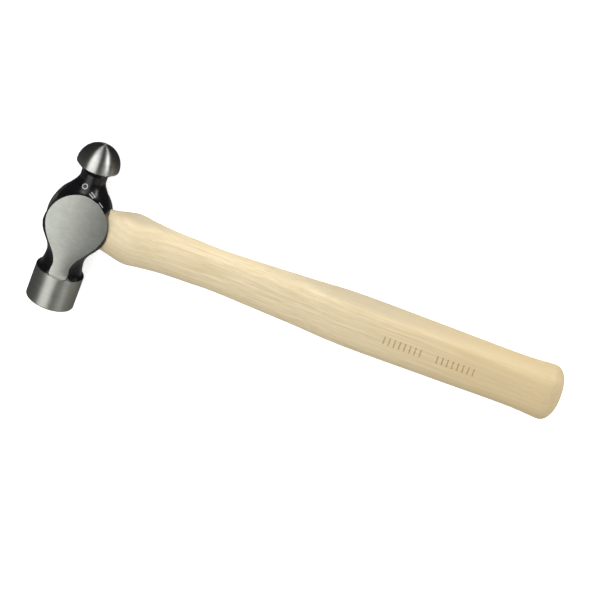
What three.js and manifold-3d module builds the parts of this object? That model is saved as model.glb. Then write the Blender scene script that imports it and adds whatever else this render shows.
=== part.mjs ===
// Ball peen hammer: a forged steel head on a hickory handle, locked by one wooden and two steel wedges.
//
// The hammer lies on its side. The handle runs along +X to its butt, the head's axis runs along +Y to the
// ball, and +Z is up. The origin is under the middle of the hammer, on the surface that it lies on.
// Lengths are millimetres. Each shape is first made round the point where the two axes cross.

import * as THREE from "three";
import { mergeVertices } from "three/addons/utils/BufferGeometryUtils.js";
import Module from "manifold-3d";

const wasm = await Module();
wasm.setup();

const SEGMENTS = 36;
const PROFILE_STEPS = 5;
const DRUM_SEGMENTS = 96;
const CLEARANCE = 0.3;
const FAR = 200;

// Poll: the cylinder that ends in the striking face.
const FACE_Y = -58.7;
const FACE_EDGE = 1.4;
const POLL_RADIUS = 15.5;
const POLL_RIM_Y = -36.6;
const POLL_RIM_EDGE = 0.7;
const GRIND_END_Y = -35.8;

// Neck between the poll and the eye: eight flats, a little deeper than it is wide.
const NECK_RADIUS = 12.25;
const NECK_START_Y = -34;
const NECK_END_Y = -14.5;
const NECK_NARROW_Y = -30.6;
const NECK_DEPTH_RATIO = 1.11;
const SHOULDER_SPREAD = 0.5;

// Eye boss: an oval with crowned walls, whose ground cheeks run on down the neck as a narrow strip.
const CHEEK_Z = 13;
const CHEEK_HALF_LENGTH = 19.4;
const CHEEK_HALF_HEIGHT = 20.7;
const CHEEK_CENTRE_Y = 1.6;
const CHEEK_ARC_END = -Math.PI / 6;
const CHEEK_ARC_PULL = 12;
const STRIP_HALF_WIDTH = 5.4;
const STRIP_START_Y = -27.8;
const STRIP_PULL = 5;
const WALL_CROWN = 1.7;
const WALL_CROWN_DEPTH = 7;
const WALL_DROP = 4.5;
const WALL_RISE = 5;

// Ball peen: a hemisphere with a short land, an undercut and a round neck.
const BALL_RADIUS = 13.85;
const BALL_CENTRE_Y = 40.1;
const BALL_LAND = 0.6;
const BALL_NECK_RADIUS = 8.5;
const BALL_NECK_END_Y = 34.5;
const BALL_NECK_START_Y = 29.7;
const FLARE_RADIUS = 17;
const FLARE_MEETS_NECK_Y = -9.5;
const FLARE_START_Y = 12;
const FLARE_BEND = new THREE.Vector2(14.5, 21);
const FLARE_END = new THREE.Vector2(9.5, 24.5);
const UNDERCUT_BEND = new THREE.Vector2(9.1, 35.8);

// Eye: an oval hole, narrowest at its middle, that the handle's tenon fills.
const EYE_MOUTH = 14.1;
const EYE_WAIST = 12.9;
const EYE_DEPTH_RATIO = 0.69;
const EYE_REACH = 25;
const TENON_END_RADIUS = 20.4;
const TENON_JOINT_X = 14;
const SHANK_START_X = 8;
const SHANK_STEP = 1.2;

// Handle: half width along Y and half thickness along Z at each distance along X from the head's axis.
const HANDLE_STATIONS = [
  new THREE.Vector3(20.1, 13.9, 9.3),
  new THREE.Vector3(34.5, 17.1, 12.1),
  new THREE.Vector3(45, 16, 11.3),
  new THREE.Vector3(59.4, 14.5, 10.1),
  new THREE.Vector3(78, 13.8, 9.8),
  new THREE.Vector3(95.8, 13.4, 9.5),
  new THREE.Vector3(143.6, 15.1, 10.65),
  new THREE.Vector3(182, 16.9, 11.85),
  new THREE.Vector3(239, 16.6, 11.7),
  new THREE.Vector3(287, 16.25, 11.5),
  new THREE.Vector3(309, 17.4, 12.2),
];
const HANDLE_STEPS = 30;
const HANDLE_END_X = 319;
const BUTT_STEPS = 5;
const BUTT_ROUNDNESS = 2.25;
const TENON_STEPS = 8;
const OVAL = 2;
const BOXY = 3.2;
const GRIP_START_X = 175;

// Wedges: each tapers from its outer end, next to the tenon's end, to its tip.
const WOOD_WEDGE = { outerX: -23, tipX: 4, outerHalf: 2, tipHalf: 0.5 };
const STEEL_WEDGE = { outerX: -23, tipX: -8, outerHalf: 1.4, tipHalf: 0.4, halfWidth: 6 };
const STEEL_WEDGE_Y = 6;

/** A closed three.js geometry as a manifold solid. */
function solidOf(geometry) {
  const bare = geometry.clone();
  bare.deleteAttribute("normal");
  bare.deleteAttribute("uv");
  const merged = mergeVertices(bare, 1e-4);
  const corners = merged.index.array;
  const triangles = [];
  for (let i = 0; i < corners.length; i += 3) {
    const [a, b, c] = corners.slice(i, i + 3);
    if (a !== b && b !== c && c !== a) {
      triangles.push(a, b, c);
    }
  }
  const vertProperties = merged.attributes.position.array;
  const triVerts = new Uint32Array(triangles);
  return new wasm.Manifold(new wasm.Mesh({ numProp: 3, vertProperties, triVerts }));
}

/** A manifold solid as a three.js geometry. */
function geometryOf(solid) {
  const mesh = solid.getMesh();
  const geometry = new THREE.BufferGeometry();
  geometry.setAttribute("position", new THREE.BufferAttribute(mesh.vertProperties, 3));
  geometry.setIndex(new THREE.BufferAttribute(mesh.triVerts, 1));
  geometry.computeVertexNormals();
  return geometry;
}

/** A box between two corners. */
function boxBetween(low, high) {
  const size = new THREE.Vector3().subVectors(high, low);
  const centre = new THREE.Vector3().addVectors(low, high).multiplyScalar(0.5);
  return new THREE.BoxGeometry(size.x, size.y, size.z).translate(centre.x, centre.y, centre.z);
}

/** Poll, necks and ball in one profile, turned about the head's axis. */
function turnedForging() {
  const profile = new THREE.Path();
  profile.moveTo(0, FACE_Y);
  profile.lineTo(POLL_RADIUS - FACE_EDGE, FACE_Y);
  profile.absarc(POLL_RADIUS - FACE_EDGE, FACE_Y + FACE_EDGE, FACE_EDGE, -Math.PI / 2, 0);
  profile.lineTo(POLL_RADIUS, POLL_RIM_Y);
  profile.lineTo(POLL_RADIUS - POLL_RIM_EDGE, POLL_RIM_Y + POLL_RIM_EDGE);
  profile.quadraticCurveTo(NECK_RADIUS + SHOULDER_SPREAD, NECK_START_Y, NECK_RADIUS, NECK_NARROW_Y);
  profile.lineTo(NECK_RADIUS, NECK_END_Y);
  profile.lineTo(FLARE_RADIUS, FLARE_MEETS_NECK_Y);
  profile.lineTo(FLARE_RADIUS, FLARE_START_Y);
  profile.bezierCurveTo(
    FLARE_BEND.x, FLARE_BEND.y, FLARE_END.x, FLARE_END.y, BALL_NECK_RADIUS, BALL_NECK_START_Y,
  );
  profile.lineTo(BALL_NECK_RADIUS, BALL_NECK_END_Y);
  profile.quadraticCurveTo(UNDERCUT_BEND.x, UNDERCUT_BEND.y, BALL_RADIUS, BALL_CENTRE_Y - BALL_LAND);
  profile.lineTo(BALL_RADIUS, BALL_CENTRE_Y);
  profile.absarc(0, BALL_CENTRE_Y, BALL_RADIUS, 0, Math.PI / 2);
  const points = profile.getPoints(PROFILE_STEPS);
  points[points.length - 1].x = 0;
  return new THREE.LatheGeometry(points, SEGMENTS);
}

/** The eye boss: the cheek's outline between its two flats, with walls that crown and lean to the poll. */
function eyeBoss() {
  const cosine = Math.cos(CHEEK_ARC_END);
  const sine = Math.sin(CHEEK_ARC_END);
  const arcEnd = new THREE.Vector2(CHEEK_HALF_LENGTH * cosine, CHEEK_CENTRE_Y + CHEEK_HALF_HEIGHT * sine);
  const leave = new THREE.Vector2(CHEEK_HALF_LENGTH * sine, -CHEEK_HALF_HEIGHT * cosine);
  const cheekBend = leave.setLength(CHEEK_ARC_PULL).add(arcEnd);
  const stripBend = new THREE.Vector2(STRIP_HALF_WIDTH, STRIP_START_Y + STRIP_PULL);
  const outline = new THREE.Shape();
  outline.moveTo(STRIP_HALF_WIDTH, STRIP_START_Y);
  outline.bezierCurveTo(stripBend.x, stripBend.y, cheekBend.x, cheekBend.y, arcEnd.x, arcEnd.y);
  outline.absellipse(
    0, CHEEK_CENTRE_Y, CHEEK_HALF_LENGTH, CHEEK_HALF_HEIGHT, CHEEK_ARC_END, Math.PI - CHEEK_ARC_END, false, 0,
  );
  outline.bezierCurveTo(
    -cheekBend.x, cheekBend.y, -stripBend.x, stripBend.y, -STRIP_HALF_WIDTH, STRIP_START_Y,
  );
  const straight = 2 * (CHEEK_Z - WALL_CROWN_DEPTH);
  const boss = new THREE.ExtrudeGeometry(outline, {
    depth: straight,
    curveSegments: 12,
    bevelSize: WALL_CROWN,
    bevelThickness: WALL_CROWN_DEPTH,
    bevelSegments: 3,
  });
  boss.translate(0, 0, -straight / 2);
  const places = boss.attributes.position;
  for (let i = 0; i < places.count; i += 1) {
    const beyond = Math.max(0, Math.abs(places.getZ(i)) - straight / 2);
    const crown = Math.sqrt(Math.max(0, 1 - (beyond / WALL_CROWN_DEPTH) ** 2));
    const above = Math.max(0, places.getY(i) - CHEEK_CENTRE_Y);
    const rise = (WALL_RISE / CHEEK_HALF_HEIGHT) * above;
    places.setY(i, places.getY(i) + (rise - WALL_DROP) * crown);
  }
  return boss;
}

/** The eight-sided neck, with a flat towards each cheek. */
function octagonalNeck() {
  const corner = NECK_RADIUS / Math.cos(Math.PI / 8);
  const length = NECK_END_Y - NECK_START_Y;
  const neck = new THREE.CylinderGeometry(corner, corner, length, 8, 1, false, Math.PI / 8);
  return neck.scale(1, 1, NECK_DEPTH_RATIO).translate(0, (NECK_START_Y + NECK_END_Y) / 2, 0);
}

/** The eye's hole or the tenon in it: an oval about X that is narrowest where it crosses the head's axis. */
function eyeOval(gap) {
  const points = [new THREE.Vector2(0, -EYE_REACH)];
  for (let i = 0; i <= TENON_STEPS; i += 1) {
    const x = EYE_REACH * ((2 * i) / TENON_STEPS - 1);
    const widening = (EYE_MOUTH - EYE_WAIST) * Math.min(1, Math.abs(x) / CHEEK_HALF_LENGTH) ** 2;
    points.push(new THREE.Vector2(EYE_WAIST + widening - gap, x));
  }
  points.push(new THREE.Vector2(0, EYE_REACH));
  const oval = new THREE.LatheGeometry(points, SEGMENTS);
  return oval.scale(1, 1, EYE_DEPTH_RATIO).rotateZ(-Math.PI / 2);
}

function headSolid() {
  const forging = solidOf(turnedForging()).add(solidOf(eyeBoss())).add(solidOf(octagonalNeck()));
  let ground = forging;
  for (const side of [-1, 1]) {
    const near = side * CHEEK_Z;
    const far = side * FAR;
    const low = new THREE.Vector3(-FAR, GRIND_END_Y, Math.min(near, far));
    const high = new THREE.Vector3(FAR, BALL_NECK_START_Y, Math.max(near, far));
    ground = ground.subtract(solidOf(boxBetween(low, high)));
  }
  return ground.subtract(solidOf(eyeOval(0)));
}

/** The handle from inside the eye to its butt, as ovals that grow boxy towards the grip. */
function handleBody() {
  const rings = new THREE.CatmullRomCurve3(HANDLE_STATIONS, false, "catmullrom", 0.5).getPoints(HANDLE_STEPS);
  const start = rings[0];
  rings.unshift(new THREE.Vector3(SHANK_START_X, start.y - SHANK_STEP, start.z - SHANK_STEP));
  const last = rings[rings.length - 1];
  for (let i = 1; i < BUTT_STEPS; i += 1) {
    const along = Math.sin((Math.PI / 2) * (i / BUTT_STEPS));
    const shrink = (1 - along ** BUTT_ROUNDNESS) ** (1 / BUTT_ROUNDNESS);
    const x = last.x + along * (HANDLE_END_X - last.x);
    rings.push(new THREE.Vector3(x, last.y * shrink, last.z * shrink));
  }
  const profile = rings.map((ring) => new THREE.Vector2(1, ring.x));
  profile.unshift(new THREE.Vector2(0, rings[0].x));
  profile.push(new THREE.Vector2(0, HANDLE_END_X));
  rings.unshift(rings[0]);
  rings.push(last);
  const body = new THREE.LatheGeometry(profile, SEGMENTS);
  const places = body.attributes.position;
  for (let i = 0; i < places.count; i += 1) {
    const ring = rings[i % rings.length];
    const x = places.getY(i);
    const boxiness = THREE.MathUtils.smoothstep(x, HANDLE_STATIONS[0].x, GRIP_START_X);
    const power = 2 / THREE.MathUtils.lerp(OVAL, BOXY, boxiness);
    const across = places.getX(i);
    const up = places.getZ(i);
    const y = ring.y * Math.sign(across) * Math.abs(across) ** power;
    const z = ring.z * Math.sign(up) * Math.abs(up) ** power;
    places.setXYZ(i, x, -y, z);
  }
  return body;
}

/** A wedge that tapers along X. A flat one tapers in Z and spans Y; any other tapers in Y and spans Z. */
function wedgeSolid(shape, gap, halfSpan, flat) {
  const side = new THREE.Shape();
  side.moveTo(shape.outerX, shape.outerHalf + gap);
  side.lineTo(shape.outerX, -shape.outerHalf - gap);
  side.lineTo(shape.tipX + gap, -shape.tipHalf - gap);
  side.lineTo(shape.tipX + gap, shape.tipHalf + gap);
  const wedge = new THREE.ExtrudeGeometry(side, { depth: 2 * halfSpan, bevelEnabled: false });
  wedge.translate(0, 0, -halfSpan);
  if (flat) {
    wedge.rotateX(Math.PI / 2);
  }
  return solidOf(wedge);
}

/** The curved surface that the tenon and its wedges are ground to, flush with the eye boss. */
function tenonEnd(radius) {
  const drum = new THREE.CylinderGeometry(radius, radius, 2 * FAR, DRUM_SEGMENTS).rotateX(Math.PI / 2);
  const shank = boxBetween(new THREE.Vector3(0, -FAR, -FAR), new THREE.Vector3(2 * FAR, FAR, FAR));
  return solidOf(drum).add(solidOf(shank));
}

function steelWedgeSolid(y, gap) {
  return wedgeSolid(STEEL_WEDGE, gap, STEEL_WEDGE.halfWidth + gap, false).translate(0, y, 0);
}

function handleSolid() {
  const tenon = solidOf(eyeOval(CLEARANCE)).intersect(tenonEnd(TENON_END_RADIUS));
  const front = boxBetween(new THREE.Vector3(-FAR, -FAR, -FAR), new THREE.Vector3(TENON_JOINT_X, FAR, FAR));
  let handle = solidOf(handleBody()).add(tenon.intersect(solidOf(front)));
  handle = handle.subtract(wedgeSolid(WOOD_WEDGE, CLEARANCE, FAR, true));
  for (const y of [-STEEL_WEDGE_Y, STEEL_WEDGE_Y]) {
    handle = handle.subtract(steelWedgeSolid(y, CLEARANCE));
  }
  return handle;
}

function woodWedgeSolid() {
  const room = solidOf(eyeOval(CLEARANCE)).intersect(tenonEnd(TENON_END_RADIUS));
  let wedge = wedgeSolid(WOOD_WEDGE, 0, FAR, true).intersect(room);
  for (const y of [-STEEL_WEDGE_Y, STEEL_WEDGE_Y]) {
    wedge = wedge.subtract(steelWedgeSolid(y, CLEARANCE));
  }
  return wedge;
}

const groundSteel = new THREE.MeshStandardMaterial({ color: 0xb4b6b2, roughness: 0.35, metalness: 1 });
const wedgeSteel = new THREE.MeshStandardMaterial({ color: 0x8f9090, roughness: 0.5, metalness: 1 });
const hickory = new THREE.MeshStandardMaterial({ color: 0xe6d3ac, roughness: 0.45, metalness: 0 });
const wedgeWood = new THREE.MeshStandardMaterial({ color: 0xc9a878, roughness: 0.7, metalness: 0 });

function named(name, solid, material) {
  const mesh = new THREE.Mesh(geometryOf(solid), material);
  mesh.name = name;
  return mesh;
}

const hammer = new THREE.Group();
hammer.add(named("head", headSolid(), groundSteel));
hammer.add(named("handle", handleSolid(), hickory));
hammer.add(named("wood_wedge", woodWedgeSolid(), wedgeWood));
const wedgeEnd = tenonEnd(TENON_END_RADIUS);
hammer.add(named("steel_wedge_1", steelWedgeSolid(STEEL_WEDGE_Y, 0).intersect(wedgeEnd), wedgeSteel));
hammer.add(named("steel_wedge_2", steelWedgeSolid(-STEEL_WEDGE_Y, 0).intersect(wedgeEnd), wedgeSteel));

// The origin is under the middle of the hammer's length and breadth, level with the lowest line of its poll.
const extent = new THREE.Box3().setFromObject(hammer, true);
const middle = extent.getCenter(new THREE.Vector3());
hammer.position.set(-middle.x, -middle.y, -extent.min.z);

export default hammer;
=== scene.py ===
"""The looks of a ball peen hammer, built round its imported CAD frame."""

import math

import bmesh
import bpy
import numpy as np
from mathutils import Matrix, Vector


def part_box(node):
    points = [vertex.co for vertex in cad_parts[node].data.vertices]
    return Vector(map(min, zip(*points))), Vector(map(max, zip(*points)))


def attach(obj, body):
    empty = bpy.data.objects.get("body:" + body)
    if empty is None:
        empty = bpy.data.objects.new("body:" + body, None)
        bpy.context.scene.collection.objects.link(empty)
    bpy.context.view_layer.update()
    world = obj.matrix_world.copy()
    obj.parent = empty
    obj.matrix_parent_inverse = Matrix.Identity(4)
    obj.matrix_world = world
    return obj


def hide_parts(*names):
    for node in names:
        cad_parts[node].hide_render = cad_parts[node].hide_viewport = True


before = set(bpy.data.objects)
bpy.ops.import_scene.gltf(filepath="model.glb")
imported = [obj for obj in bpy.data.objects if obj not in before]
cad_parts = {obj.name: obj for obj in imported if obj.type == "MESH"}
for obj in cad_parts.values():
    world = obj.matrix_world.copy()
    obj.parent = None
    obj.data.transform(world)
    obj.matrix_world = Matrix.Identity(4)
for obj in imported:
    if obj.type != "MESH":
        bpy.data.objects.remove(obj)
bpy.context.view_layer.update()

MM = 0.001

# Driving dimensions in millimetres, measured from the point where the head's axis crosses the handle's.

# Poll: the cylinder with the striking face, its rim, and the belt's climb from the cheek to the rim.
FACE_Y = -58.7
FACE_EDGE = 1.4
POLL_RADIUS = 15.5
POLL_RIM_Y = -36.6
POLL_RIM_EDGE = 0.7
GRIND_TURN_Y = -31.7
GRIND_TURN_RADIUS = 6.5

# Neck between the poll and the eye: eight soft flats, and the shoulder that widens to the poll.
NECK_RADIUS = 12.25
NECK_NARROW_RADIUS = 11.7
NECK_NARROW_Y = -30.6
NECK_DEPTH_RATIO = 1.11
NECK_CRISPNESS = 24
NECK_INSIDE_Y = -8.0
SHOULDER_BEND = (12.75, -34.0)
SHOULDER_BLEND = 2.5
SHOULDER_BLEND_AT_CHEEK = 4.0

# Eye boss: ground cheeks that run down the neck as a strip, and walls that bulge and lean between them.
CHEEK_Z = 13.0
CHEEK_HALF_LENGTH = 19.4
CHEEK_HALF_HEIGHT = 20.7
CHEEK_CENTRE_Y = 1.6
CHEEK_OVALITY = 1.9
CHEEK_SLOPE = 0.1
STRIP_HALF_WIDTH = 5.4
STRIP_NARROW_Y = -27.8
STRIP_WIDE_Y = -6.0
WALL_BEND_Z = 8.0
WALL_CROWN = 1.65
WALL_DROP = 4.5
WALL_RISE = 5.0
WALL_CLOSE = 4.2
WALL_POWER = 6.0
FORGING_HALF_DEPTH = 18.0
FORGING_REACH = 40.0
BOSS_BLEND = 9.9
BOSS_BLEND_AT_CHEEK = 10.6

# Turned core inside the boss, and the flare from it to the ball's neck.
CORE_RADIUS = 9.0
CORE_LOW_Y = -24.0
CORE_HIGH_Y = 2.0
FLARE_START = (17.0, 12.0)
FLARE_WIDE = (14.5, 21.0)
FLARE_CLOSE = (9.5, 24.5)
FLARE_BLEND = 2.8
FLARE_BLEND_AT_CHEEK = 1.2

# Ball peen: a hemisphere with a short land and an undercut.
BALL_RADIUS = 13.85
BALL_CENTRE_Y = 40.1
BALL_LAND = 0.6
BALL_NECK_RADIUS = 8.5
BALL_NECK_START_Y = 29.7
BALL_NECK_END_Y = 34.5
UNDERCUT_BEND = (9.1, 35.8)

# Eye, and the tenon that fills it.
EYE_MOUTH = 14.1
EYE_WAIST = 12.9
EYE_DEPTH_RATIO = 0.69
EYE_REACH = 25.0
TENON_GAP = 0.03
TENON_END_RADIUS = 20.4
TENON_END_MIDDLE = 0.06
TENON_STRAIGHT_X = (-14.0, 15.0)
TENON_DARK_X = 14.0

# Handle: half width along Y and half thickness along Z at each distance along X.
HANDLE_STATIONS = [
    (20.1, 13.9, 9.3),
    (34.5, 17.1, 12.1),
    (45.0, 16.0, 11.3),
    (59.4, 14.5, 10.1),
    (78.0, 13.8, 9.8),
    (95.8, 13.4, 9.5),
    (143.6, 15.1, 10.65),
    (182.0, 16.9, 11.85),
    (239.0, 16.6, 11.7),
    (287.0, 16.25, 11.5),
    (309.0, 17.4, 12.2),
]
HANDLE_END_X = 319.0
BUTT_ROUNDNESS = 2.25
OVAL, BOXY = 2.0, 3.2
GRIP_START_X = 175.0

# Wedges, tapering along X.
WOOD_WEDGE = {"outer_x": -23.0, "tip_x": 4.0, "outer_half": 2.2, "tip_half": 0.7}
STEEL_WEDGE = {"outer_x": -23.0, "tip_x": -8.0, "outer_half": 1.5, "tip_half": 0.5, "half_width": 6.1}
STEEL_WEDGE_Y = 6.0
KERF_REACH = 16.0
DRUM_REACH = 30.0

# Tolerances: three in metres and one in millimetres.
WELD = 1e-7
ABOVE_PLANE = 1e-8
ON_CHEEK = 1e-5
ON_TURN_MM = 2e-3

# Where the two axes cross, in the row's frame, in metres.
HEAD_LOW, HEAD_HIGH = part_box("head")
HANDLE_LOW, HANDLE_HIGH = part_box("handle")
CROSSING = Vector((
    HANDLE_HIGH.x - HANDLE_END_X * MM,
    HEAD_HIGH.y - (BALL_CENTRE_Y + BALL_RADIUS) * MM,
    (HEAD_LOW.z + HEAD_HIGH.z) / 2,
))


def place(x, y, z):
    """A point given in millimetres from the crossing, as a place in the row's frame."""
    return CROSSING + Vector((x, y, z)) * MM


# Meshes.

def mesh_object(name, vertices, faces):
    """A smooth-shaded object from millimetre vertices."""
    mesh = bpy.data.meshes.new(name)
    mesh.from_pydata((np.asarray(vertices) * MM + np.array(CROSSING)).tolist(), [], faces)
    mesh.validate()
    mesh.shade_smooth()
    piece = bpy.data.objects.new(name, mesh)
    bpy.context.scene.collection.objects.link(piece)
    return piece


def tube_faces(rows, columns):
    """Quads between closed rings of vertices, with a triangle fan at each end."""
    faces = []
    for row in range(rows - 1):
        for column in range(columns):
            following = (column + 1) % columns
            here, beyond = row * columns, (row + 1) * columns
            faces.append((here + column, here + following, beyond + following, beyond + column))
    start, end = rows * columns, rows * columns + 1
    last = (rows - 1) * columns
    for column in range(columns):
        following = (column + 1) % columns
        faces.append((start, following, column))
        faces.append((end, last + column, last + following))
    return faces


def cut(piece, tool, operation="DIFFERENCE"):
    """Cuts a piece with another object and removes the tool."""
    modifier = piece.modifiers.new("cut", "BOOLEAN")
    modifier.operation = operation
    modifier.object = tool
    modifier.solver = "EXACT"
    modifier.material_mode = "TRANSFER"
    bpy.context.view_layer.objects.active = piece
    bpy.ops.object.modifier_apply(modifier=modifier.name)
    bpy.data.objects.remove(tool)


def sharpen(piece, angle):
    """Marks edges that turn by more than the angle as sharp."""
    mesh = bmesh.new()
    mesh.from_mesh(piece.data)
    for edge in mesh.edges:
        edge.smooth = len(edge.link_faces) == 2 and edge.calc_face_angle() < angle
    mesh.to_mesh(piece.data)
    mesh.free()


def blend_min(a, b, reach):
    """The smaller of two distances, rounded off where they are closer than the reach."""
    overlap = np.clip(reach - np.abs(a - b), 0, None) / reach
    return np.minimum(a, b) - overlap * overlap * reach / 4


def between(a, b, share):
    """The value a share of the way from a to b."""
    return a + (b - a) * share


def smoothstep(x, low, high):
    """Rises from 0 to 1 between low and high."""
    t = np.clip((x - low) / (high - low), 0, 1)
    return t * t * (3 - 2 * t)


def bezier(points, count):
    """Points along a Bezier curve of any degree."""
    t = np.linspace(0, 1, count)[:, None]
    degree = len(points) - 1
    curve = np.zeros((count, 2))
    for i, point in enumerate(points):
        curve += math.comb(degree, i) * t**i * (1 - t) ** (degree - i) * np.array(point)
    return curve


def arc(centre, radius, start, end, count):
    """Points along a circular arc, with its angles in degrees."""
    angles = np.radians(np.linspace(start, end, count))
    return np.column_stack((centre[0] + radius * np.cos(angles), centre[1] + radius * np.sin(angles)))


# Head.

def shoulder_curve():
    """From the poll's rim to the neck, as (radius, y)."""
    start = (POLL_RADIUS - POLL_RIM_EDGE, POLL_RIM_Y + POLL_RIM_EDGE)
    return bezier([start, SHOULDER_BEND, (NECK_NARROW_RADIUS, NECK_NARROW_Y)], 24)


def flare_curve():
    """From inside the boss to the ball's neck, as (radius, y)."""
    end = (BALL_NECK_RADIUS, BALL_NECK_START_Y)
    return bezier([FLARE_START, FLARE_WIDE, FLARE_CLOSE, end], 40)


def turned_radius(y):
    """Radius of the turned body under the boss and along both necks."""
    shoulder, flare = shoulder_curve(), flare_curve()
    heights = np.concatenate((shoulder[:, 1], [CORE_LOW_Y, CORE_HIGH_Y], flare[:, 1]))
    radii = np.concatenate((shoulder[:, 0], [CORE_RADIUS, CORE_RADIUS], flare[:, 0]))
    return np.interp(y, heights, radii)


def forging_distance(x, y, z):
    """Roughly how far a point is outside the forging before its cheeks are ground."""
    bulge = np.maximum(1 - (np.abs(z) / CHEEK_Z) ** WALL_POWER, -1)
    across = np.abs(x) / (CHEEK_HALF_LENGTH + WALL_CROWN * bulge)
    along = y - CHEEK_CENTRE_Y + WALL_DROP * bulge
    along = np.abs(along) / (CHEEK_HALF_HEIGHT + np.where(along > 0, WALL_RISE, -WALL_CLOSE) * bulge)
    boss = ((across**CHEEK_OVALITY + along**CHEEK_OVALITY) ** (1 / CHEEK_OVALITY) - 1) * CHEEK_HALF_LENGTH
    boss = np.maximum(boss, np.abs(z) - FORGING_HALF_DEPTH)
    px, pz = np.abs(x), np.abs(z) / NECK_DEPTH_RATIO
    sides = (px, pz, (px + pz) / math.sqrt(2), np.abs(px - pz) / math.sqrt(2))
    octagon = sum(side**NECK_CRISPNESS for side in sides) ** (1 / NECK_CRISPNESS) - NECK_RADIUS
    octagon = octagon + np.maximum(0, y - NECK_INSIDE_Y)
    near_cheek = np.minimum(1, np.abs(z) / CHEEK_Z) ** 2
    body = blend_min(boss, octagon, between(BOSS_BLEND, BOSS_BLEND_AT_CHEEK, near_cheek))
    turned = np.hypot(x, z) - turned_radius(y)
    shoulder = between(SHOULDER_BLEND, SHOULDER_BLEND_AT_CHEEK, near_cheek)
    flare = between(FLARE_BLEND, FLARE_BLEND_AT_CHEEK, near_cheek)
    return blend_min(body, turned, np.where(y < CHEEK_CENTRE_Y, shoulder, flare))


def grind_level(y):
    """Depth of the ground cheek where the belt climbs from it to the poll's rim."""
    back = np.clip(GRIND_TURN_Y - y, 0, GRIND_TURN_RADIUS)
    return CHEEK_Z + GRIND_TURN_RADIUS - np.sqrt(GRIND_TURN_RADIUS**2 - back**2)


def grind_turn(rings):
    """Rings with everything above the belt's climb taken off."""
    y, z = rings[..., 1], rings[..., 2]
    level = np.where(y < GRIND_TURN_Y + 1e-6, grind_level(y), FORGING_HALF_DEPTH)
    return np.stack((rings[..., 0], y, np.clip(z, -level, level)), axis=-1)


def forged_rings(heights, angles):
    """Rings of the forging at the given heights, found along rays from the head's axis."""
    y, angle = np.meshgrid(heights, angles, indexing="ij")
    near, far = np.zeros_like(y), np.full_like(y, FORGING_REACH)
    for _ in range(36):
        middle = (near + far) / 2
        outside = forging_distance(middle * np.sin(angle), y, middle * np.cos(angle)) > 0
        far = np.where(outside, middle, far)
        near = np.where(outside, near, middle)
    return np.stack((near * np.sin(angle), y, near * np.cos(angle)), axis=-1)


def turned_rings(profile, angles):
    """Rings of a turned surface from its (radius, y) profile."""
    radius, y = np.array(profile)[:, 0, None], np.array(profile)[:, 1, None]
    shape = (len(profile), len(angles))
    return np.stack((
        radius * np.sin(angles), np.broadcast_to(y, shape), radius * np.cos(angles),
    ), axis=-1)


def poll_profile():
    """The striking face, its edge, the poll and its rim."""
    centre = (POLL_RADIUS - FACE_EDGE, FACE_Y + FACE_EDGE)
    face = [(radius, FACE_Y) for radius in np.linspace(1.0, POLL_RADIUS - FACE_EDGE, 12)[:-1]]
    edge = arc(centre, FACE_EDGE, -90, 0, 10).tolist()
    wall = [(POLL_RADIUS, y) for y in np.linspace(FACE_Y + FACE_EDGE, POLL_RIM_Y, 24)[1:]]
    rim = arc((POLL_RADIUS - POLL_RIM_EDGE, POLL_RIM_Y), POLL_RIM_EDGE, 0, 90, 8)[1:-1].tolist()
    return face + edge + wall + rim


def ball_profile():
    """The undercut, the land and the ball."""
    neck = (BALL_NECK_RADIUS, BALL_NECK_END_Y)
    land = (BALL_RADIUS, BALL_CENTRE_Y - BALL_LAND)
    undercut = bezier([neck, UNDERCUT_BEND, land], 16).tolist()
    ball = arc((0, BALL_CENTRE_Y), BALL_RADIUS, 0, 88, 56).tolist()
    return undercut + ball


def grind_cheeks(mesh):
    """Cuts both cheeks flat between the poll's fillet and the ball, and returns the new flat faces."""
    def on_boss(face):
        height = (face.calc_center_median() - CROSSING).y / MM
        return GRIND_TURN_Y < height < BALL_NECK_END_Y

    flats = []
    for side in (-1, 1):
        parts = set()
        for face in filter(on_boss, mesh.faces):
            parts.update((face, *face.edges, *face.verts))
        plane = place(0, 0, side * CHEEK_Z)
        bmesh.ops.bisect_plane(mesh, geom=list(parts), plane_co=plane, plane_no=(0, 0, side), dist=WELD)
        proud = [
            face for face in mesh.faces
            if on_boss(face) and (face.calc_center_median().z - plane.z) * side > ABOVE_PLANE
        ]
        bmesh.ops.delete(mesh, geom=proud, context="FACES")
        open_edges = [edge for edge in mesh.edges if edge.is_boundary]
        flats += bmesh.ops.contextual_create(mesh, geom=open_edges)["faces"]
    return flats


def on_turn(face):
    """Whether a face lies where the belt climbs to the poll's rim."""
    places = [(vertex.co - CROSSING) / MM for vertex in face.verts]
    return all(abs(abs(place.z) - grind_level(place.y)) < ON_TURN_MM for place in places)


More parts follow.
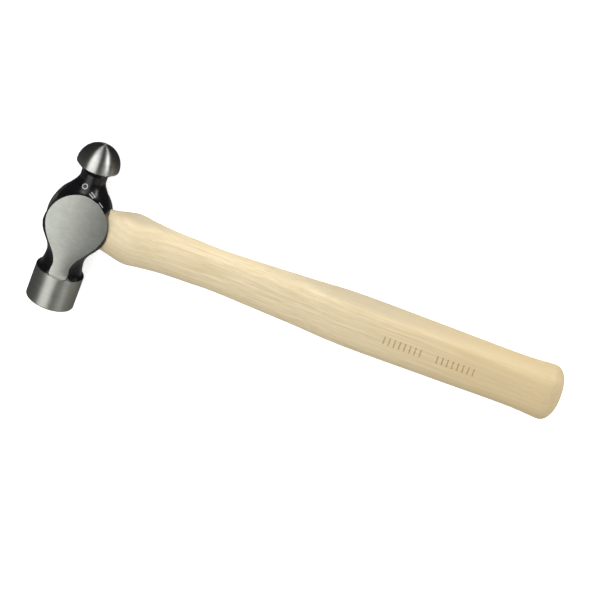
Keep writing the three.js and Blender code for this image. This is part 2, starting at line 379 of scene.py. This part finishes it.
def crown_cheeks(head):
    """Divides both ground cheeks into a grid and rounds them a little from side to side."""
    mesh = bmesh.new()
    mesh.from_mesh(head.data)
    parts = set()
    for face in mesh.faces:
        if abs(abs((face.calc_center_median() - CROSSING).z) - CHEEK_Z * MM) < ON_CHEEK:
            parts.update((face, *face.edges, *face.verts))
    columns = np.linspace(-1, 1, 27)[1:-1] * CHEEK_HALF_LENGTH
    rows = np.linspace(GRIND_TURN_Y, CHEEK_CENTRE_Y + CHEEK_HALF_HEIGHT, 41)[1:-1]
    planes = [(place(x, 0, 0), (1, 0, 0)) for x in columns] + [(place(0, y, 0), (0, 1, 0)) for y in rows]
    for point, normal in planes:
        parts = {part for part in parts if part.is_valid}
        split = bmesh.ops.bisect_plane(mesh, geom=list(parts), plane_co=point, plane_no=normal, dist=WELD)
        parts.update(split["geom"])
    for vertex in mesh.verts:
        x, y, z = (vertex.co - CROSSING) / MM
        if POLL_RIM_Y < y < BALL_NECK_END_Y:
            widening = smoothstep(y, STRIP_NARROW_Y, STRIP_WIDE_Y)
            half = STRIP_HALF_WIDTH + (CHEEK_HALF_LENGTH - STRIP_HALF_WIDTH) * widening
            drop = CHEEK_SLOPE / 2 * x**2 / half
            drop *= smoothstep(abs(z), WALL_BEND_Z, CHEEK_Z) * smoothstep(y, POLL_RIM_Y, GRIND_TURN_Y)
            vertex.co.z -= math.copysign(drop * MM, z)
    mesh.to_mesh(head.data)
    mesh.free()


def eye_half(x):
    """Half width of the eye along Y, narrowest at its middle."""
    return EYE_WAIST + (EYE_MOUTH - EYE_WAIST) * np.minimum(1, np.abs(x) / CHEEK_HALF_LENGTH) ** 2


def eye_tool(shrink):
    """The oval hole through the eye, or the tenon in it."""
    columns = 128
    x = np.linspace(-EYE_REACH, EYE_REACH, 41)
    half = eye_half(x) - shrink
    angles = np.linspace(0, 2 * math.pi, columns, endpoint=False)
    y = half[:, None] * np.cos(angles)
    z = half[:, None] * EYE_DEPTH_RATIO * np.sin(angles)
    rings = np.stack((np.broadcast_to(x[:, None], y.shape), y, z), axis=-1)
    ends = [(-EYE_REACH, 0, 0), (EYE_REACH, 0, 0)]
    return mesh_object("eye_tool", np.vstack((rings.reshape(-1, 3), ends)), tube_faces(len(x), columns))


def outward(piece):
    """Turns every face of a closed piece outwards."""
    mesh = bmesh.new()
    mesh.from_mesh(piece.data)
    bmesh.ops.recalc_face_normals(mesh, faces=mesh.faces)
    mesh.to_mesh(piece.data)
    mesh.free()


HEAD_SLOTS = ("black_paint", "ground_steel", "turned_steel", "ball_steel", "eye_wall")


def make_head(materials):
    """The forging with its ground cheeks and its eye, in bare and painted steel."""
    columns = 240
    angles = np.linspace(0, 2 * math.pi, columns, endpoint=False)
    poll = turned_rings(poll_profile(), angles)
    turn = np.linspace(POLL_RIM_Y + POLL_RIM_EDGE, GRIND_TURN_Y, 16)
    heights = np.concatenate((turn, np.linspace(GRIND_TURN_Y, BALL_NECK_END_Y, 165)[1:-1]))
    forged = forged_rings(heights, angles)
    ball = turned_rings(ball_profile(), angles)
    rings = grind_turn(np.concatenate((poll, forged, ball)))
    ends = [(0, FACE_Y, 0), (0, BALL_CENTRE_Y + BALL_RADIUS, 0)]
    vertices = np.vstack((rings.reshape(-1, 3), ends))
    head = mesh_object("head_forging", vertices, tube_faces(len(rings), columns))
    outward(head)
    for name in HEAD_SLOTS:
        head.data.materials.append(materials[name])
    mesh = bmesh.new()
    mesh.from_mesh(head.data)
    flats = grind_cheeks(mesh)
    bmesh.ops.recalc_face_normals(mesh, faces=mesh.faces)
    for face in mesh.faces:
        face.smooth = True
        height = (face.calc_center_median() - CROSSING).y / MM
        if height < POLL_RIM_Y + POLL_RIM_EDGE / 2:
            face.material_index = HEAD_SLOTS.index("turned_steel")
        elif height > BALL_CENTRE_Y - BALL_LAND:
            face.material_index = HEAD_SLOTS.index("ball_steel")
        elif height < GRIND_TURN_Y and on_turn(face):
            face.material_index = HEAD_SLOTS.index("ground_steel")
    for face in flats:
        face.material_index = HEAD_SLOTS.index("ground_steel")
    mesh.to_mesh(head.data)
    mesh.free()
    tool = eye_tool(0)
    outward(tool)
    tool.data.materials.append(materials["eye_wall"])
    cut(head, tool)
    crown_cheeks(head)
    sharpen(head, math.radians(24))
    return head


# Handle and wedges.

def catmull_rom(stations, per_span):
    """A smooth curve through the stations."""
    points = np.array(stations, float)
    points = np.vstack((2 * points[0] - points[1], points, 2 * points[-1] - points[-2]))
    curve = []
    for i in range(1, len(points) - 2):
        a, b, c, d = points[i - 1:i + 3]
        for t in np.linspace(0, 1, per_span, endpoint=False):
            curve.append(0.5 * (2 * b + (c - a) * t + (2 * a - 5 * b + 4 * c - d) * t**2
                                + (3 * b - a - 3 * c + d) * t**3))
    curve.append(points[-2])
    return np.array(curve)


def tenon_end_x(y):
    """The curved end of the tenon, flush with the boss."""
    return -np.sqrt(TENON_END_RADIUS**2 - y**2)


def make_handle(materials):
    """The tenon with its curved end, the shoulder, the grip and the domed butt."""
    columns = 144
    angles = np.linspace(0, 2 * math.pi, columns, endpoint=False)
    cosine, sine = np.cos(angles), np.sin(angles)
    rings = []
    for share in np.linspace(TENON_END_MIDDLE, 1, 12):
        y = share * (EYE_MOUTH - TENON_GAP) * cosine
        z = share * (EYE_MOUTH - TENON_GAP) * EYE_DEPTH_RATIO * sine
        rings.append(np.column_stack((tenon_end_x(y), y, z)))
    for x in np.linspace(*TENON_STRAIGHT_X, 20):
        half = eye_half(x) - TENON_GAP
        rings.append(np.column_stack((np.full(columns, x), half * cosine, half * EYE_DEPTH_RATIO * sine)))
    body = catmull_rom(HANDLE_STATIONS, 22)
    last = body[-1]
    butt = []
    for i in range(1, 26):
        along = math.sin(math.pi / 2 * i / 26)
        shrink = (1 - along**BUTT_ROUNDNESS) ** (1 / BUTT_ROUNDNESS)
        butt.append((last[0] + along * (HANDLE_END_X - last[0]), last[1] * shrink, last[2] * shrink))
    for x, half_width, half_depth in np.vstack((body, butt)):
        power = 2 / (OVAL + (BOXY - OVAL) * smoothstep(x, HANDLE_STATIONS[0][0], GRIP_START_X))
        y = half_width * np.sign(cosine) * np.abs(cosine) ** power
        z = half_depth * np.sign(sine) * np.abs(sine) ** power
        rings.append(np.column_stack((np.full(columns, x), y, z)))
    ends = [(tenon_end_x(0), 0, 0), (HANDLE_END_X, 0, 0)]
    vertices = np.vstack((np.array(rings).reshape(-1, 3), ends))
    handle = mesh_object("handle_hickory", vertices, tube_faces(len(rings), columns))
    outward(handle)
    handle.data.materials.append(materials["hickory"])
    cut(handle, wedge_prism("kerf_tool", WOOD_WEDGE, 0.0, KERF_REACH, True))
    for y in (-STEEL_WEDGE_Y, STEEL_WEDGE_Y):
        cut(handle, wedge_prism("slot_tool", STEEL_WEDGE, y, STEEL_WEDGE["half_width"], False))
    sharpen(handle, math.radians(30))
    return handle


def wedge_prism(name, shape, y, reach, flat):
    """A tapered wedge along X, lying along Y if flat and standing along Z if not."""
    corners = []
    for x, half in ((shape["outer_x"], shape["outer_half"]), (shape["tip_x"], shape["tip_half"])):
        for side in (-1, 1):
            for end in (-1, 1):
                if flat:
                    corners.append((x, y + end * reach, side * half))
                else:
                    corners.append((x, y + side * half, end * reach))
    faces = [(0, 1, 3, 2), (4, 6, 7, 5), (0, 4, 5, 1), (2, 3, 7, 6), (0, 2, 6, 4), (1, 5, 7, 3)]
    wedge = mesh_object(name, corners, faces)
    outward(wedge)
    return wedge


def make_wedges(materials):
    """The wooden wedge and the two steel ones across it, all ground flush with the tenon."""
    def trimmed(name, shape, y, reach, flat, material):
        wedge = wedge_prism(name, shape, y, reach, flat)
        cut(wedge, drum_tool(), "INTERSECT")
        wedge.data.materials.clear()
        wedge.data.materials.append(material)
        sharpen(wedge, math.radians(20))
        return wedge

    wood = trimmed("wedge_of_wood", WOOD_WEDGE, 0.0, KERF_REACH, True, materials["wedge_wood"])
    cut(wood, eye_limits(), "INTERSECT")
    steels = []
    for number, y in ((1, STEEL_WEDGE_Y), (2, -STEEL_WEDGE_Y)):
        cut(wood, wedge_prism("slot_tool", STEEL_WEDGE, y, STEEL_WEDGE["half_width"], False))
        name = f"wedge_of_steel_{number}"
        reach = STEEL_WEDGE["half_width"]
        steels.append(trimmed(name, STEEL_WEDGE, y, reach, False, materials["wedge_steel"]))
    return wood, steels


def drum_tool():
    """An upright drum whose wall has the curve of the tenon's end."""
    columns = 96
    angles = np.linspace(0, 2 * math.pi, columns, endpoint=False)
    ring = np.column_stack((TENON_END_RADIUS * np.cos(angles), TENON_END_RADIUS * np.sin(angles)))
    rings = [np.column_stack((ring, np.full(columns, z))) for z in (-DRUM_REACH, DRUM_REACH)]
    vertices = np.vstack((np.vstack(rings), [(0, 0, -DRUM_REACH), (0, 0, DRUM_REACH)]))
    drum = mesh_object("drum_tool", vertices, tube_faces(2, columns))
    outward(drum)
    return drum


def eye_limits():
    """The space that the tenon fills in the eye."""
    tool = eye_tool(TENON_GAP)
    outward(tool)
    return tool


# Materials.

class Shader:
    """A node material with one principled shader, whose helpers return sockets."""

    def __init__(self, name, color, roughness, metallic=0.0):
        self.material = bpy.data.materials.new(name)
        self.material.use_nodes = True
        self.tree = self.material.node_tree
        self.surface = self.tree.nodes["Principled BSDF"]
        self.surface.inputs["Base Color"].default_value = (*color, 1)
        self.surface.inputs["Roughness"].default_value = roughness
        self.surface.inputs["Metallic"].default_value = metallic
        self.material.diffuse_color = (*color, 1)

    def put(self, kind, inputs=None, **settings):
        """A new node of a kind, with its inputs and settings."""
        node = self.tree.nodes.new("ShaderNode" + kind)
        for key, value in settings.items():
            setattr(node, key, value)
        for key, value in (inputs or {}).items():
            self.feed(node.inputs[key], value)
        return node

    def feed(self, socket, value):
        """Links a socket to another, or gives it a value."""
        if isinstance(value, bpy.types.NodeSocket):
            self.tree.links.new(value, socket)
        else:
            socket.default_value = value

    def drive(self, name, value):
        """Feeds one of the principled shader's inputs."""
        self.feed(self.surface.inputs[name], value)

    def place(self, scale=(1, 1, 1)):
        """Millimetres from the crossing of the axes, stretched by the scale."""
        coordinates = self.put("TexCoord").outputs["Object"]
        centred = self.put("VectorMath", {0: coordinates, 1: tuple(CROSSING)}, operation="SUBTRACT")
        factors = tuple(value / MM for value in scale)
        return self.put("VectorMath", {0: centred.outputs[0], 1: factors}, operation="MULTIPLY").outputs[0]

    def noise(self, where, scale, detail=3.0, roughness=0.55, distortion=0.0):
        values = {"Vector": where, "Scale": scale, "Detail": detail, "Roughness": roughness,
                  "Distortion": distortion}
        return self.put("TexNoise", values).outputs["Fac"]

    def math(self, operation, a, b=0.0, clamp=False):
        return self.put("Math", {0: a, 1: b}, operation=operation, use_clamp=clamp).outputs[0]

    def spread(self, value, low, high, to_low=0.0, to_high=1.0, smooth=True):
        """Maps low..high to to_low..to_high."""
        kind = "SMOOTHSTEP" if smooth else "LINEAR"
        values = {"Value": value, "From Min": low, "From Max": high, "To Min": to_low, "To Max": to_high}
        return self.put("MapRange", values, interpolation_type=kind).outputs[0]

    def blend(self, share, a, b):
        """A colour that goes from a to b as the share goes from 0 to 1."""
        node = self.put("Mix", data_type="RGBA")
        self.feed(node.inputs[0], share)
        self.feed(node.inputs[6], a if isinstance(a, bpy.types.NodeSocket) else (*a, 1))
        self.feed(node.inputs[7], b if isinstance(b, bpy.types.NodeSocket) else (*b, 1))
        return node.outputs[2]

    def axes(self, where):
        node = self.put("SeparateXYZ", {0: where})
        return node.outputs[0], node.outputs[1], node.outputs[2]

    def relief(self, height, distance, strength=1.0, over=None):
        """Bump from a height between 0 and 1, in metres of distance."""
        values = {"Height": height, "Distance": distance, "Strength": strength}
        if over is not None:
            values["Normal"] = over
        bump = self.put("Bump", values).outputs[0]
        self.drive("Normal", bump)
        return bump


def black_paint():
    """Gloss black paint with a faint orange peel, thin on the edges and printed with plain grey marks."""
    shader = Shader("black_paint", (0.008, 0.008, 0.009), 0.26)
    where = shader.place()
    x, y, z = shader.axes(where)
    peel = shader.noise(where, 0.55, 2.0)
    drift = shader.noise(where, 0.12, 3.0)
    shader.relief(peel, 0.00012, 0.35)
    shader.drive("Roughness", shader.spread(drift, 0.3, 0.7, 0.2, 0.32))
    shade = shader.blend(drift, (0.002, 0.002, 0.003), (0.006, 0.006, 0.007))
    height = shader.math("ABSOLUTE", z)
    near_edge = shader.spread(height, CHEEK_Z - 0.35, CHEEK_Z)
    chips = shader.spread(shader.noise(where, 1.3, 4.0), 0.52, 0.6)
    worn = shader.math("MULTIPLY", near_edge, chips)
    marks = printed_marks(shader, x, y, z)
    shade = shader.blend(marks, shade, (0.5, 0.5, 0.5))
    shader.drive("Base Color", shader.blend(worn, shade, (0.35, 0.35, 0.33)))
    shader.surface.inputs["Specular IOR Level"].default_value = 0.5
    return shader.material


def printed_marks(shader, x, y, z):
    """A small ring and two pairs of dashes, stamped at a slant on the upper shoulder of the boss."""
    stamp, start_x, start_up, slope = math.radians(35), -2.9, 16.8, math.radians(-31.0)
    up = shader.math("SUBTRACT", shader.math("MULTIPLY", y, math.cos(stamp)),
                     shader.math("MULTIPLY", z, math.sin(stamp)))
    dx, dy = shader.math("SUBTRACT", x, start_x), shader.math("SUBTRACT", up, start_up)
    along = shader.math("ADD", shader.math("MULTIPLY", dx, math.cos(slope)),
                        shader.math("MULTIPLY", dy, math.sin(slope)))
    aside = shader.math("ADD", shader.math("MULTIPLY", dx, -math.sin(slope)),
                        shader.math("MULTIPLY", dy, math.cos(slope)))
    reach = shader.math("SQRT", shader.math("ADD", shader.math("POWER", along, 2.0),
                                            shader.math("POWER", aside, 2.0)))
    marks = shader.math("COMPARE", reach, 1.5)
    marks.node.inputs[2].default_value = 0.35
    for middle, half in ((7.2, 1.9), (15.0, 1.9)):
        reach_along = shader.math("ABSOLUTE", shader.math("SUBTRACT", along, middle))
        inside = shader.math("LESS_THAN", reach_along, half)
        line = shader.math("COMPARE", shader.math("ABSOLUTE", aside), 0.8)
        line.node.inputs[2].default_value = 0.34
        marks = shader.math("MAXIMUM", marks, shader.math("MULTIPLY", inside, line))
    patchy = shader.spread(shader.noise(shader.place(), 1.5, 2.0), 0.35, 0.6, 0.4, 1.0)
    shown = shader.math("MULTIPLY", patchy, shader.math("GREATER_THAN", z, 0.0))
    return shader.math("MULTIPLY", marks, shown)


def ground_steel():
    """Satin steel off a grinding belt, with fine scratches across the head."""
    shader = Shader("ground_steel", (0.485, 0.498, 0.45), 0.34, 1.0)
    lines = shader.noise(shader.place((0.2, 4.0, 4.0)), 1.0, 4.0, 0.7)
    blotches = shader.noise(shader.place(), 0.22, 4.0)
    shade = shader.blend(shader.spread(lines, 0.3, 0.7), (0.415, 0.426, 0.384), (0.555, 0.57, 0.515))
    shade = shader.blend(shader.spread(blotches, 0.35, 0.7, 0, 0.5), shade, (0.405, 0.416, 0.375))
    shader.drive("Base Color", shade)
    shader.drive("Roughness", shader.spread(lines, 0.25, 0.75, 0.3, 0.38))
    shader.relief(lines, 0.00002, 0.5)
    return shader.material


def turned_steel(name, color, roughness, stretch):
    """Steel with the fine rings that a lathe leaves round the head's axis."""
    shader = Shader(name, color, roughness, 1.0)
    rings = shader.noise(shader.place((0.02, 7.0, 0.02)), 1.0, 3.0, 0.7)
    blotches = shader.noise(shader.place(), 0.2, 4.0)
    darker = tuple(value * 0.82 for value in color)
    lighter = tuple(min(1.0, value * 1.1) for value in color)
    shade = shader.blend(shader.spread(rings, 0.3, 0.7), darker, lighter)
    shader.drive("Base Color", shader.blend(shader.spread(blotches, 0.4, 0.75, 0, 0.35), shade, darker))
    shader.drive("Roughness", shader.spread(rings, 0.25, 0.75, roughness * 0.85, roughness * 1.2))
    shader.relief(rings, 0.000015, 0.4)
    shader.surface.inputs["Anisotropic"].default_value = stretch
    shader.surface.inputs["Anisotropic Rotation"].default_value = 0.25
    tangent = shader.put("Tangent", direction_type="RADIAL", axis="Y")
    shader.drive("Tangent", tangent.outputs[0])
    return shader.material


def hickory():
    """Pale lacquered hickory: long growth rings, fine pores and a burned row of plain strokes."""
    shader = Shader("hickory", (0.8, 0.66, 0.42), 0.42)
    where = shader.place()
    x, y, z = shader.axes(where)
    drift = shader.noise(shader.place((0.006, 0.05, 0.05)), 1.0, 2.0)
    from_heart = shader.math("SQRT", shader.math("ADD",
                             shader.math("POWER", shader.math("ADD", y, 70.0), 2.0),
                             shader.math("POWER", shader.math("ADD", z, 46.0), 2.0)))
    wavy = shader.math("ADD", shader.math("MULTIPLY", from_heart, 0.34), shader.math("MULTIPLY", drift, 2.5))
    cycle = shader.math("FRACT", wavy)
    ring = shader.math("MULTIPLY", shader.spread(cycle, 0.0, 0.8), shader.spread(cycle, 1.0, 0.88))
    pores = shader.noise(shader.place((0.1, 3.2, 3.2)), 1.0, 2.0, 0.6)
    pore = shader.math("MULTIPLY", shader.spread(pores, 0.62, 0.72), shader.spread(ring, 0.2, 0.9, 0.25, 1.0))
    fibres = shader.noise(shader.place((0.03, 2.0, 2.0)), 1.0, 4.0, 0.7)
    shade = shader.blend(shader.spread(fibres, 0.33, 0.67), (0.72, 0.58, 0.35), (0.89, 0.765, 0.51))
    shade = shader.blend(shader.spread(x, 30.0, 90.0, 0.5, 0), shade, (0.8, 0.67, 0.43))
    shade = shader.blend(shader.math("MULTIPLY", ring, 0.2), shade, (0.62, 0.46, 0.25))
    shade = shader.blend(shader.math("MULTIPLY", pore, 0.3), shade, (0.42, 0.29, 0.14))
    # Painted shade: the wood darkens towards the handle's edge on the ball's side, where the light falls off.
    shade = shader.blend(shader.spread(y, 12.5, 16.5, 0, 0.75), shade, (0.52, 0.44, 0.3))
    # Painted shade: the wood darkens and warms towards the butt, toning down the highlight along the grip.
    shade = shader.blend(shader.spread(x, 170.0, 290.0, 0, 0.55), shade, (0.7, 0.53, 0.27))
    burned = shader.math("MULTIPLY", burned_strokes(shader, x, y, z), 0.8)
    shade = shader.blend(burned, shade, (0.36, 0.2, 0.07))
    in_eye = shader.spread(x, -TENON_DARK_X, -TENON_DARK_X - 1.0)
    shade = shader.blend(shader.math("MULTIPLY", in_eye, 0.98), shade, (0.02, 0.015, 0.011))
    shader.drive("Base Color", shade)
    shader.drive("Roughness", shader.spread(fibres, 0.3, 0.7, 0.36, 0.5))
    shader.relief(fibres, 0.00004, 0.35)
    shader.surface.inputs["Coat Weight"].default_value = 0.25
    shader.surface.inputs["Coat Roughness"].default_value = 0.25
    return shader.material


def burned_strokes(shader, x, y, z):
    """Two groups of short plain strokes on the upper side of the grip."""
    pitch, thickness, half_height = 3.4, 0.9, 2.7
    strokes = None
    for start, count in ((203.5, 8), (238.5, 8)):
        across = shader.math("SUBTRACT", x, start)
        phase = shader.math("MODULO", across, pitch)
        stroke = shader.math("LESS_THAN", phase, thickness)
        inside = shader.math("MULTIPLY", shader.math("GREATER_THAN", across, 0.0),
                             shader.math("LESS_THAN", across, pitch * count))
        group = shader.math("MULTIPLY", stroke, inside)
        strokes = group if strokes is None else shader.math("MAXIMUM", strokes, group)
    in_height = shader.math("LESS_THAN", shader.math("ABSOLUTE", y), half_height)
    uneven = shader.spread(shader.noise(shader.place(), 1.6, 3.0), 0.35, 0.6, 0.45, 1.0)
    shown = shader.math("MULTIPLY", shader.math("MULTIPLY", in_height, uneven),
                        shader.math("GREATER_THAN", z, 0.0))
    return shader.math("MULTIPLY", strokes, shown)


def wedge_wood():
    """A darker, harder wood, seen on its end grain."""
    shader = Shader("wedge_wood", (0.11, 0.075, 0.045), 0.75)
    grain = shader.noise(shader.place((0.2, 0.5, 2.5)), 1.0, 4.0, 0.6)
    shader.drive("Base Color", shader.blend(grain, (0.06, 0.04, 0.022), (0.16, 0.11, 0.065)))
    shader.relief(grain, 0.0001, 0.5)
    return shader.material


def wedge_steel():
    """Dull mild steel, ground across."""
    shader = Shader("wedge_steel", (0.36, 0.36, 0.36), 0.45, 1.0)
    lines = shader.noise(shader.place((4.0, 0.4, 0.6)), 1.0, 4.0, 0.7)
    shader.drive("Base Color", shader.blend(lines, (0.24, 0.23, 0.22), (0.46, 0.46, 0.45)))
    shader.drive("Roughness", shader.spread(lines, 0.3, 0.7, 0.35, 0.6))
    shader.relief(lines, 0.00003, 0.5)
    return shader.material


def eye_wall():
    """The eye's wall, dark with forging scale."""
    shader = Shader("eye_wall", (0.03, 0.03, 0.03), 0.6)
    scale = shader.noise(shader.place(), 0.8, 4.0)
    shader.drive("Base Color", shader.blend(scale, (0.012, 0.012, 0.012), (0.06, 0.055, 0.05)))
    shader.relief(scale, 0.0002, 0.5)
    return shader.material


# Studio.

# Camera: angles, lens and sensor in millimetres, the width that it takes in at the crossing, and its aim.
LEAN = math.radians(24.8)
ROLL = math.radians(20.2)
LENS = 1200.0
SENSOR = 36.0
VIEW_WIDTH = 372.324
AIM = (146.4, 0.55)
FLOOR_REACH = 12.0
FLOOR_DROP = 0.0001


def make_camera():
    """A long lens that leans towards the ball and is rolled to lay the handle at a slant."""
    data = bpy.data.cameras.new("camera")
    data.lens, data.sensor_width = LENS, SENSOR
    camera = bpy.data.objects.new("camera", data)
    bpy.context.scene.collection.objects.link(camera)
    back = Vector((0, math.sin(LEAN), math.cos(LEAN)))
    level = Vector((0, math.cos(LEAN), -math.sin(LEAN)))
    right = Vector((1, 0, 0)) * math.cos(ROLL) + level * math.sin(ROLL)
    up = level * math.cos(ROLL) - Vector((1, 0, 0)) * math.sin(ROLL)
    distance = LENS / SENSOR * VIEW_WIDTH * MM
    turn = Matrix((right, up, back)).transposed().to_4x4()
    camera.matrix_world = Matrix.Translation(place(*AIM, 0) + back * distance) @ turn
    data.clip_end = distance * 4
    bpy.context.scene.camera = camera


def make_floor():
    """A pale floor through the three points that the hammer lies on: poll, ball and butt."""
    poll = place(0, POLL_RIM_Y, -POLL_RADIUS)
    ball = place(0, BALL_CENTRE_Y, -BALL_RADIUS)
    butt = place(HANDLE_STATIONS[-1][0], 0, -HANDLE_STATIONS[-1][2])
    normal = (butt - poll).cross(ball - poll).normalized()
    middle = (poll + ball + butt) / 3 - normal * FLOOR_DROP
    side = normal.orthogonal().normalized()
    other = normal.cross(side)
    turns = ((-1, -1), (1, -1), (1, 1), (-1, 1))
    corners = [middle + (side * a + other * b) * FLOOR_REACH for a, b in turns]
    mesh = bpy.data.meshes.new("floor")
    mesh.from_pydata([tuple(corner) for corner in corners], [], [(0, 1, 2, 3)])
    floor = bpy.data.objects.new("floor", mesh)
    bpy.context.scene.collection.objects.link(floor)
    shader = Shader("floor", (0.9, 0.9, 0.9), 0.9)
    drift = shader.noise(shader.place(), 0.01)
    shader.drive("Base Color", shader.blend(drift, (0.89, 0.89, 0.89), (0.91, 0.91, 0.91)))
    shader.surface.inputs["Emission Color"].default_value = (1, 1, 1, 1)
    shader.surface.inputs["Emission Strength"].default_value = 0.67
    shader.surface.inputs["Specular IOR Level"].default_value = 0.0
    mesh.materials.append(shader.material)
    floor.visible_glossy = False


def softbox(name, direction, distance, size, strength):
    """An area light that faces the head, with its second side along the head's axis."""
    data = bpy.data.lights.new(name, "AREA")
    data.shape = "RECTANGLE"
    data.size, data.size_y = size
    data.energy = strength * math.pi * size[0] * size[1]
    light = bpy.data.objects.new(name, data)
    bpy.context.scene.collection.objects.link(light)
    toward = Vector(direction).normalized()
    across = Vector((0, 1, 0)).cross(toward).normalized()
    turn = Matrix((across, toward.cross(across), toward)).transposed().to_4x4()
    light.matrix_world = Matrix.Translation(place(0, 0, 0) + toward * distance) @ turn
    light.visible_camera = False


def make_world():
    """White to the camera, a soft fill, and to reflections dark but for a dim glow beyond poll and handle."""
    world = bpy.data.worlds.new("studio")
    bpy.context.scene.world = world
    world.use_nodes = True
    tree = world.node_tree
    background = tree.nodes["Background"]
    background.inputs["Color"].default_value = (1, 1, 1, 1)
    axes = tree.nodes.new("ShaderNodeSeparateXYZ")
    tree.links.new(tree.nodes.new("ShaderNodeTexCoord").outputs["Generated"], axes.inputs[0])
    ranges = []
    for axis, limits in ((0, (0.25, 0.8, 0.14, 0.34)), (1, (-0.1, -0.45, 0.0, 1.0))):
        spread = tree.nodes.new("ShaderNodeMapRange")
        for name, value in zip(("From Min", "From Max", "To Min", "To Max"), limits):
            spread.inputs[name].default_value = value
        tree.links.new(axes.outputs[axis], spread.inputs["Value"])
        ranges.append(spread.outputs[0])
    reflected = tree.nodes.new("ShaderNodeMath")
    reflected.operation = "MULTIPLY_ADD"
    tree.links.new(ranges[0], reflected.inputs[0])
    tree.links.new(ranges[1], reflected.inputs[1])
    reflected.inputs[2].default_value = 0.03
    path = tree.nodes.new("ShaderNodeLightPath")
    fill = tree.nodes.new("ShaderNodeMix")
    fill.inputs[2].default_value = 0.36
    tree.links.new(path.outputs["Is Glossy Ray"], fill.inputs[0])
    tree.links.new(reflected.outputs[0], fill.inputs[3])
    camera = tree.nodes.new("ShaderNodeMath")
    camera.operation = "MAXIMUM"
    tree.links.new(path.outputs["Is Camera Ray"], camera.inputs[0])
    tree.links.new(fill.outputs[0], camera.inputs[1])
    tree.links.new(camera.outputs[0], background.inputs["Strength"])
    bpy.context.scene.view_settings.view_transform = "Standard"


def main():
    make_camera()
    make_world()
    make_floor()
    softbox("key", (-0.38, 0.12, 0.89), 0.75, (0.65, 1.45), 1.52)
    softbox("north", (-0.36, 0.80, 0.47), 0.8, (0.34, 0.34), 2.6)
    softbox("strip", (0.66, 0.66, 0.40), 0.8, (0.18, 0.55), 6.0)
    softbox("fill", (0.60, -0.50, 0.60), 1.0, (0.8, 0.6), 0.2)
    materials = {
        "black_paint": black_paint(),
        "ground_steel": ground_steel(),
        "turned_steel": turned_steel("turned_steel", (0.59, 0.6, 0.54), 0.48, 0.8),
        "ball_steel": turned_steel("ball_steel", (0.7, 0.7, 0.665), 0.42, 0.95),
        "eye_wall": eye_wall(),
        "hickory": hickory(),
        "wedge_wood": wedge_wood(),
        "wedge_steel": wedge_steel(),
    }
    head = make_head(materials)
    handle = make_handle(materials)
    wood, steels = make_wedges(materials)
    pieces = [(head, "head", "head_steel"), (handle, "handle", "hickory"), (wood, "wood_wedge", "wedge_wood")]
    pieces += [(steel, f"steel_wedge_{i}", "wedge_steel") for i, steel in enumerate(steels, 1)]
    for piece, node, slot in pieces:
        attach(piece, "root")
        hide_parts(node)


main()
